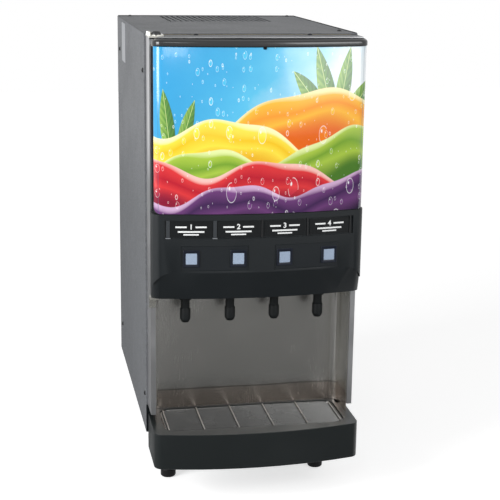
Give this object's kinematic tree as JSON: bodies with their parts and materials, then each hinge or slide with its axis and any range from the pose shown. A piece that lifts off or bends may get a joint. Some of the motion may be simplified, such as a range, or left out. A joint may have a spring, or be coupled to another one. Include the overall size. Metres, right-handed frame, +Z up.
{
  "type": "cold beverage dispenser",
  "caption": "Countertop cold drink dispenser: a tall cabinet with a bowed picture door, push buttons, hanging nozzles over a steel cup bay, and a drip tray with a wire grille.",
  "frame": {"origin": "on the counter, under the middle of the bounding box", "axes": "+X to the right seen from the front, +Y to the rear, +Z up"},
  "size_m": [0.381, 0.655, 0.8496],
  "materials": {
    "hammered_grey_paint": "hammered",
    "galvanised_steel": "satin",
    "frame_stainless": "brushed",
    "splash_stainless": "brushed",
    "tank_stainless": "satin",
    "zinc_plate": "satin",
    "liner_white": "gloss",
    "foam_cream": "matte",
    "copper_tube": "satin",
    "motor_steel": "satin",
    "black_enamel": "gloss",
    "fin_aluminium": "satin",
    "circuit_green": "satin",
    "brass_fitting": "satin",
    "black_plastic": "matte",
    "tray_black": "satin",
    "nozzle_black": "satin",
    "leg_black": "matte",
    "fascia_black": "satin",
    "trim_gloss_black": "gloss",
    "label_black": "gloss",
    "keypad_blue": "gloss",
    "button_lens": "gloss",
    "front_graphic": "gloss",
    "gasket_grey": "matte",
    "container_plastic": "satin",
    "grille_chrome": "polished"
  },
  "bodies": {
    "cabinet": {"base_pan": "galvanised_steel", "left_side_panel": "hammered_grey_paint", "right_side_panel": "hammered_grey_paint", "top_panel": "hammered_grey_paint", "rear_panel": "galvanised_steel", "equipment_shelf": "galvanised_steel", "front_frame": "frame_stainless", "lower_front_panel": "black_plastic", "upper_hinge_bracket": "zinc_plate", "lower_hinge_bracket": "zinc_plate", "splash_panel": "splash_stainless", "dispense_deck": "frame_stainless", "compartment_liner": "liner_white", "cabinet_insulation": "foam_cream", "water_bath_tank": "tank_stainless", "water_bath_lid": "liner_white", "evaporator_coil": "copper_tube", "agitator_motor": "motor_steel", "compressor": "black_enamel", "condenser": "fin_aluminium", "fan_shroud": "black_plastic", "fan_motor": "motor_steel", "pump_drives": "motor_steel", "control_board": "circuit_green", "water_inlet_fitting": "brass_fitting", "power_inlet": "black_plastic", "hinge_cap": "black_plastic", "concentrate_container_1": "container_plastic", "concentrate_container_2": "container_plastic", "concentrate_container_3": "container_plastic", "concentrate_container_4": "container_plastic"},
    "door": {"door_frame": "galvanised_steel", "door_liner": "liner_white", "door_gasket": "gasket_grey", "graphic_panel": "front_graphic", "top_trim": "trim_gloss_black", "fascia": "fascia_black", "label_card_1": "label_black", "label_card_2": "label_black", "label_card_3": "label_black", "label_card_4": "label_black", "button_board": "circuit_green", "keypad_left": "keypad_blue", "keypad_right": "keypad_blue"},
    "drip_tray": {"drip_tray": "tray_black"},
    "drip_grille": {"drip_grille": "grille_chrome"},
    "condenser_fan": {"condenser_fan": "fin_aluminium"},
    "agitator": {"agitator_impeller": "tank_stainless"},
    "nozzle_1": {"nozzle_1": "nozzle_black"},
    "dispense_button_1": {"dispense_button_1": "button_lens"},
    "nozzle_2": {"nozzle_2": "nozzle_black"},
    "dispense_button_2": {"dispense_button_2": "button_lens"},
    "nozzle_3": {"nozzle_3": "nozzle_black"},
    "dispense_button_3": {"dispense_button_3": "button_lens"},
    "nozzle_4": {"nozzle_4": "nozzle_black"},
    "dispense_button_4": {"dispense_button_4": "button_lens"},
    "leg_front_left": {"leg_front_left": "leg_black"},
    "leg_front_right": {"leg_front_right": "leg_black"},
    "leg_rear_left": {"leg_rear_left": "leg_black"},
    "leg_rear_right": {"leg_rear_right": "leg_black"}
  },
  "joints": [
    {"name": "door_swing", "type": "hinge", "parent": "cabinet", "child": "door", "pos_m": [-0.181, -0.2665, 0.6], "axis": [0, 0, -1], "range_deg": [0, 110]},
    {"name": "drip_tray_slide", "type": "slide", "parent": "cabinet", "child": "drip_tray", "axis": [0, -1, 0], "range_m": [0, 0.16]},
    {"name": "drip_grille_lift", "type": "slide", "parent": "drip_tray", "child": "drip_grille", "axis": [0, 0, 1], "range_m": [0, 0.12]},
    {"name": "condenser_fan_spin", "type": "hinge", "parent": "cabinet", "child": "condenser_fan", "pos_m": [0.078, -0.0732, 0.2048], "axis": [0, 1, 0], "continuous": true},
    {"name": "agitator_spin", "type": "hinge", "parent": "cabinet", "child": "agitator", "pos_m": [0, 0.2125, 0.5], "axis": [0, 0, 1], "continuous": true},
    {"name": "dispense_button_1_press", "type": "slide", "parent": "door", "child": "dispense_button_1", "axis": [0.0948, 0.9955, 0], "range_m": [0, 0.002], "stiffness_N_per_m": 400, "springref_m": -0.0005},
    {"name": "dispense_button_2_press", "type": "slide", "parent": "door", "child": "dispense_button_2", "axis": [0.0948, 0.9955, 0], "range_m": [0, 0.002], "stiffness_N_per_m": 400, "springref_m": -0.0005},
    {"name": "dispense_button_3_press", "type": "slide", "parent": "door", "child": "dispense_button_3", "axis": [-0.0948, 0.9955, 0], "range_m": [0, 0.002], "stiffness_N_per_m": 400, "springref_m": -0.0005},
    {"name": "dispense_button_4_press", "type": "slide", "parent": "door", "child": "dispense_button_4", "axis": [-0.0948, 0.9955, 0], "range_m": [0, 0.002], "stiffness_N_per_m": 400, "springref_m": -0.0005},
    {"name": "nozzle_1_turn", "type": "hinge", "parent": "cabinet", "child": "nozzle_1", "pos_m": [-0.12225, -0.2305, 0.36], "axis": [0, 0, 1], "range_deg": [0, 45]},
    {"name": "nozzle_2_turn", "type": "hinge", "parent": "cabinet", "child": "nozzle_2", "pos_m": [-0.04075, -0.2305, 0.36], "axis": [0, 0, 1], "range_deg": [0, 45]},
    {"name": "nozzle_3_turn", "type": "hinge", "parent": "cabinet", "child": "nozzle_3", "pos_m": [0.04075, -0.2305, 0.36], "axis": [0, 0, 1], "range_deg": [0, 45]},
    {"name": "nozzle_4_turn", "type": "hinge", "parent": "cabinet", "child": "nozzle_4", "pos_m": [0.12225, -0.2305, 0.36], "axis": [0, 0, 1], "range_deg": [0, 45]},
    {"name": "leg_front_left_screw", "type": "hinge", "parent": "cabinet", "child": "leg_front_left", "pos_m": [-0.1445, -0.1575, 0.05], "axis": [0, 0, 1], "continuous": true},
    {"name": "leg_front_right_screw", "type": "hinge", "parent": "cabinet", "child": "leg_front_right", "pos_m": [0.1445, -0.1575, 0.05], "axis": [0, 0, 1], "continuous": true},
    {"name": "leg_rear_left_screw", "type": "hinge", "parent": "cabinet", "child": "leg_rear_left", "pos_m": [-0.1445, 0.2535, 0.05], "axis": [0, 0, 1], "continuous": true},
    {"name": "leg_rear_right_screw", "type": "hinge", "parent": "cabinet", "child": "leg_rear_right", "pos_m": [0.1445, 0.2535, 0.05], "axis": [0, 0, 1], "continuous": true}
  ]
}
